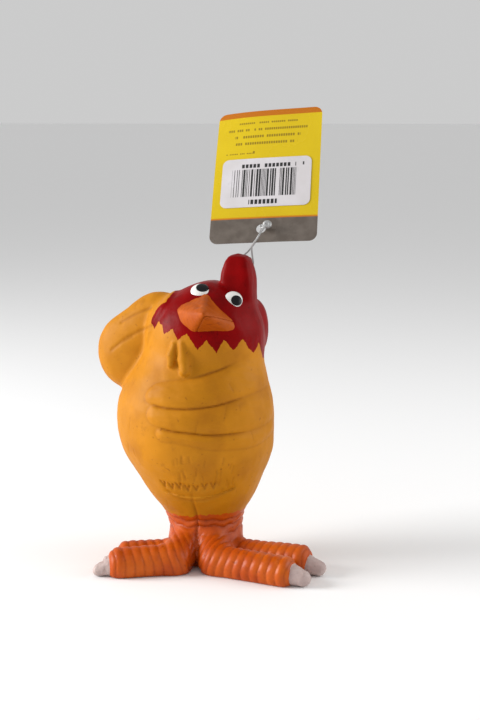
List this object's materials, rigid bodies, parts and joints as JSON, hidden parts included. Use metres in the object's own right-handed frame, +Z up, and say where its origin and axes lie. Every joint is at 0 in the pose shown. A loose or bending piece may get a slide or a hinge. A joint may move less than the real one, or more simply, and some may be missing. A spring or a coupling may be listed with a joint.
{
  "type": "rubber chicken squeeze toy",
  "caption": "Squat standing rubber chicken with one wing behind its head and one folded on its belly, a squeaker in its back and a hang tag on its comb.",
  "frame": {"origin": "on the flat sole under the middle of the leg column", "axes": "+Z up, the chicken faces -Y, its left is +X"},
  "size_m": [0.1118, 0.0886, 0.2032],
  "materials": {
    "latex_yellow": "yellow-ochre paint on latex, satin, mottled",
    "latex_red": "dark red paint on latex, glossy",
    "latex_orange": "orange paint on latex, satin",
    "latex_beak": "orange paint on latex, satin",
    "eye_white": "white enamel paint, satin",
    "pupil_black": "black enamel paint, glossy",
    "claw_pink": "pale pinkish-grey paint, matte",
    "squeaker_plastic": "natural moulded polyethylene",
    "reed_plastic": "thin polyester strip",
    "tag_card": "printed card, glossy",
    "tag_label": null,
    "clear_nylon": "clear nylon fastener"
  },
  "bodies": {
    "root": {"torso_skin": "latex_yellow", "folded_wing_arm": "latex_yellow", "raised_wing": "latex_yellow", "raised_wing_hand": "latex_yellow", "head_skin": "latex_red", "comb": "latex_red", "nape_lobe": "latex_red", "upper_beak": "latex_beak", "lower_beak": "latex_beak", "right_wattle": "latex_yellow", "left_wattle": "latex_yellow", "leg_column": "latex_orange", "tail": "latex_yellow", "squeaker_cup": "squeaker_plastic", "squeaker_cap": "squeaker_plastic", "reed_seat": "squeaker_plastic", "right_eye": "eye_white", "right_pupil": "pupil_black", "left_eye": "eye_white", "left_pupil": "pupil_black", "right_front_toe": "latex_orange", "right_front_claw": "claw_pink", "right_rear_toe": "latex_orange", "right_rear_claw": "claw_pink", "left_front_toe": "latex_orange", "left_front_claw": "claw_pink", "left_rear_toe": "latex_orange", "left_rear_claw": "claw_pink"},
    "belly": {"belly_panel": "latex_yellow", "folded_wing_hand": "latex_yellow"},
    "reed": {"squeaker_reed": "reed_plastic"},
    "loop": {"tag_loop": "clear_nylon"},
    "tag": {"hang_tag": "tag_card", "barcode_label": "tag_label"}
  },
  "joints": [
    {"name": "belly_press", "type": "slide", "parent": "root", "child": "belly", "axis": [0, 1, 0], "range_m": [0, 0.006], "stiffness_N_per_m": 500},
    {"name": "reed_flex", "type": "hinge", "parent": "root", "child": "reed", "pos_m": [-0.002, 0.01516, 0.04903], "axis": [1, 0, 0], "range_deg": [-8, 1.5], "stiffness_Nm_per_rad": 0.005},
    {"name": "loop_swing", "type": "hinge", "parent": "root", "child": "loop", "pos_m": [0.0176, 0.0105, 0.1332], "axis": [1, 0, 0], "range_deg": [-70, 10]},
    {"name": "tag_turn", "type": "hinge", "parent": "loop", "child": "tag", "pos_m": [0.025, 0.0067, 0.15], "axis": [0, 0.866, -0.5], "range_deg": [-12, 40]}
  ]
}
